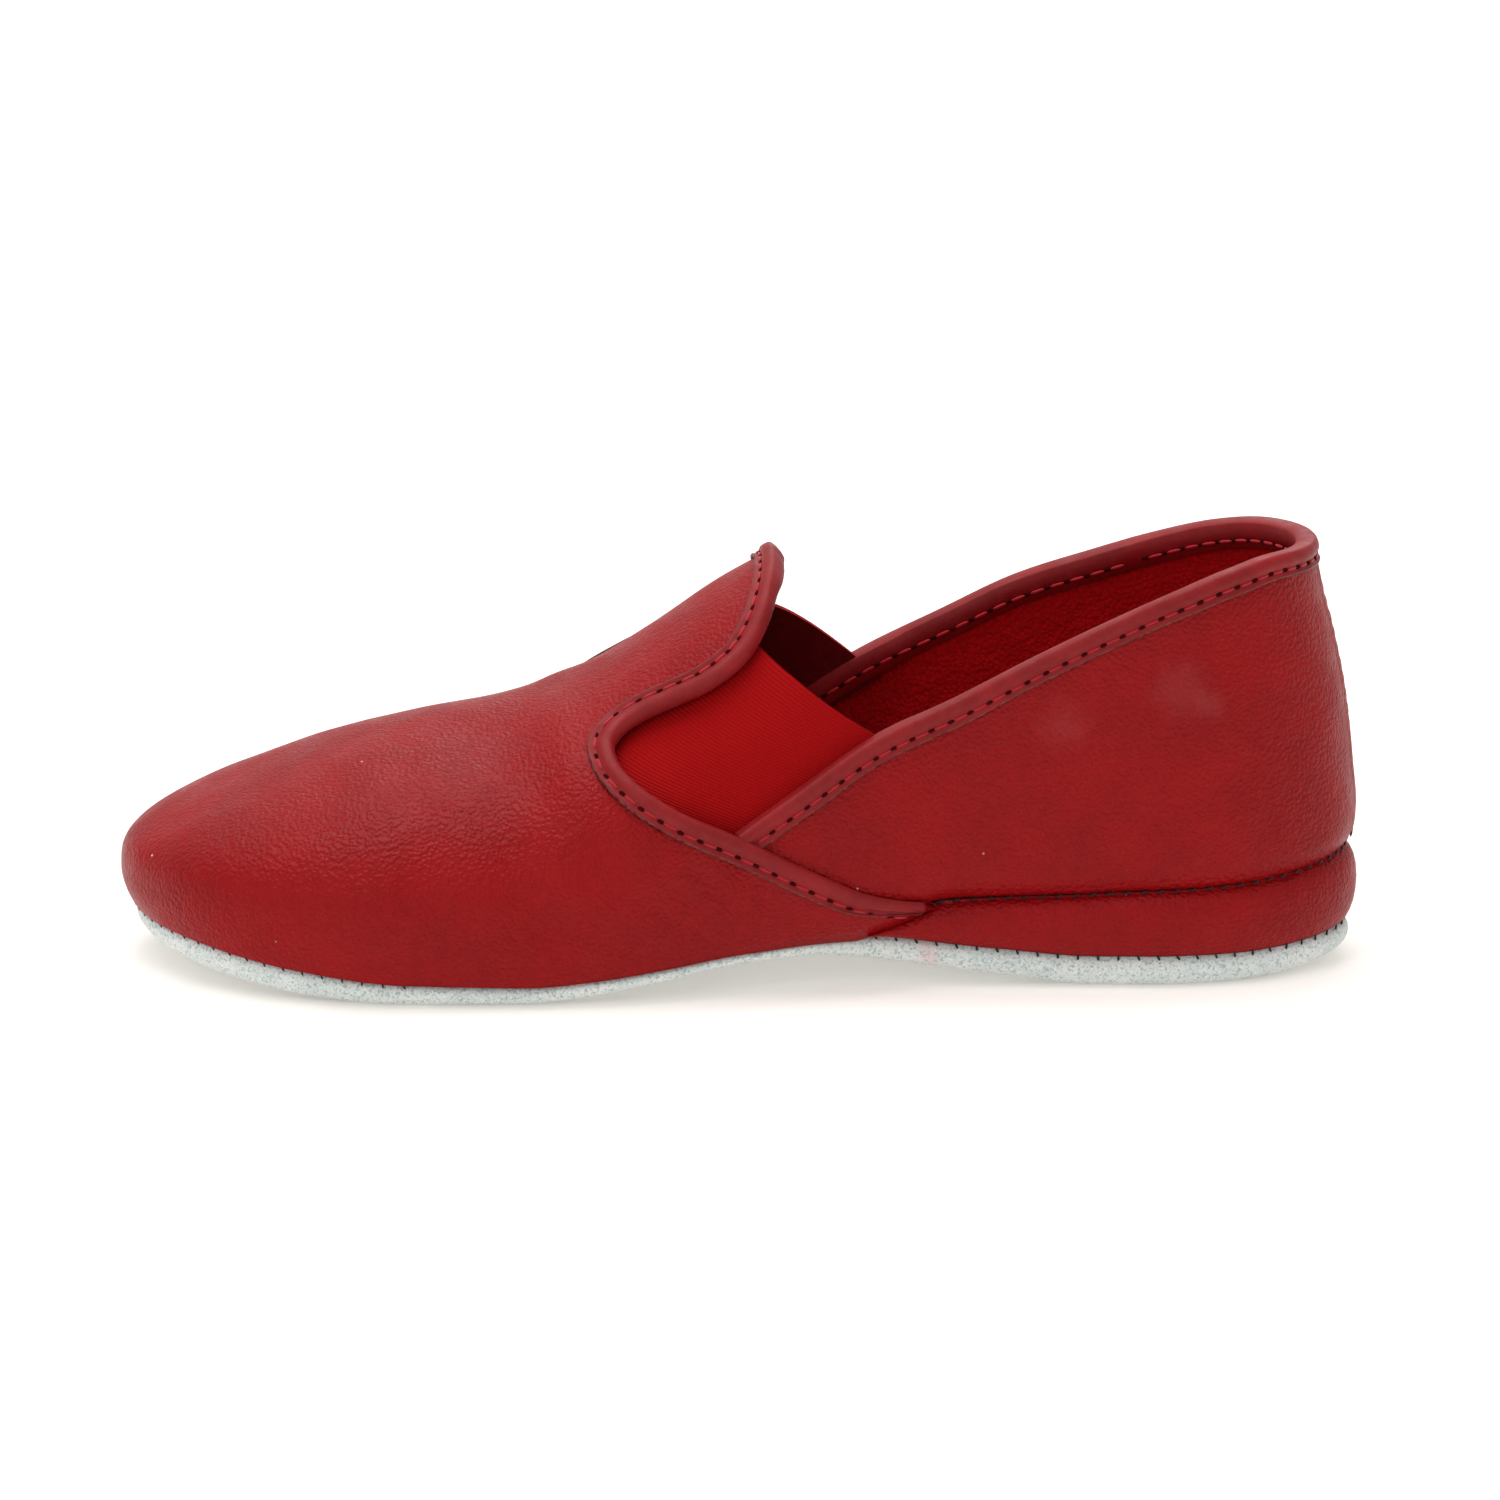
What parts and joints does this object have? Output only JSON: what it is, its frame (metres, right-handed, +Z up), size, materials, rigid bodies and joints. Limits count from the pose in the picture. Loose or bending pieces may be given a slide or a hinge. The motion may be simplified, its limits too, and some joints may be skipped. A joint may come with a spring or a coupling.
{
  "type": "slipper",
  "caption": "Red leather slip-on slipper with elastic side gores, folded leather bindings, a covered heel wedge and a soft pale suede sole.",
  "frame": {"origin": "on the floor, under the middle of the shoe's bounding box", "axes": "toe towards -X, heel towards +X, outer side of the foot towards -Y, inner side towards +Y, +Z up"},
  "size_m": [0.2569, 0.0944, 0.0902],
  "materials": {
    "leather": "smooth red grain leather with fine pores, satin",
    "binding": "folded red leather strip, satin",
    "elastic": "bright red ribbed elastic webbing, matte",
    "suede": "pale blue-grey split suede, napped and matte",
    "fleece": "dark red looped fleece, matte",
    "thread": "bright red sewing thread, satin",
    "seam_thread": "black waxed sewing thread, matte"
  },
  "bodies": {
    "root": {"upper": "leather", "vamp_binding": "binding", "collar_binding": "binding", "gore_lateral": "elastic", "gore_medial": "elastic", "heel_wedge": "leather", "sole": "suede", "insole": "fleece"}
  },
  "joints": []
}
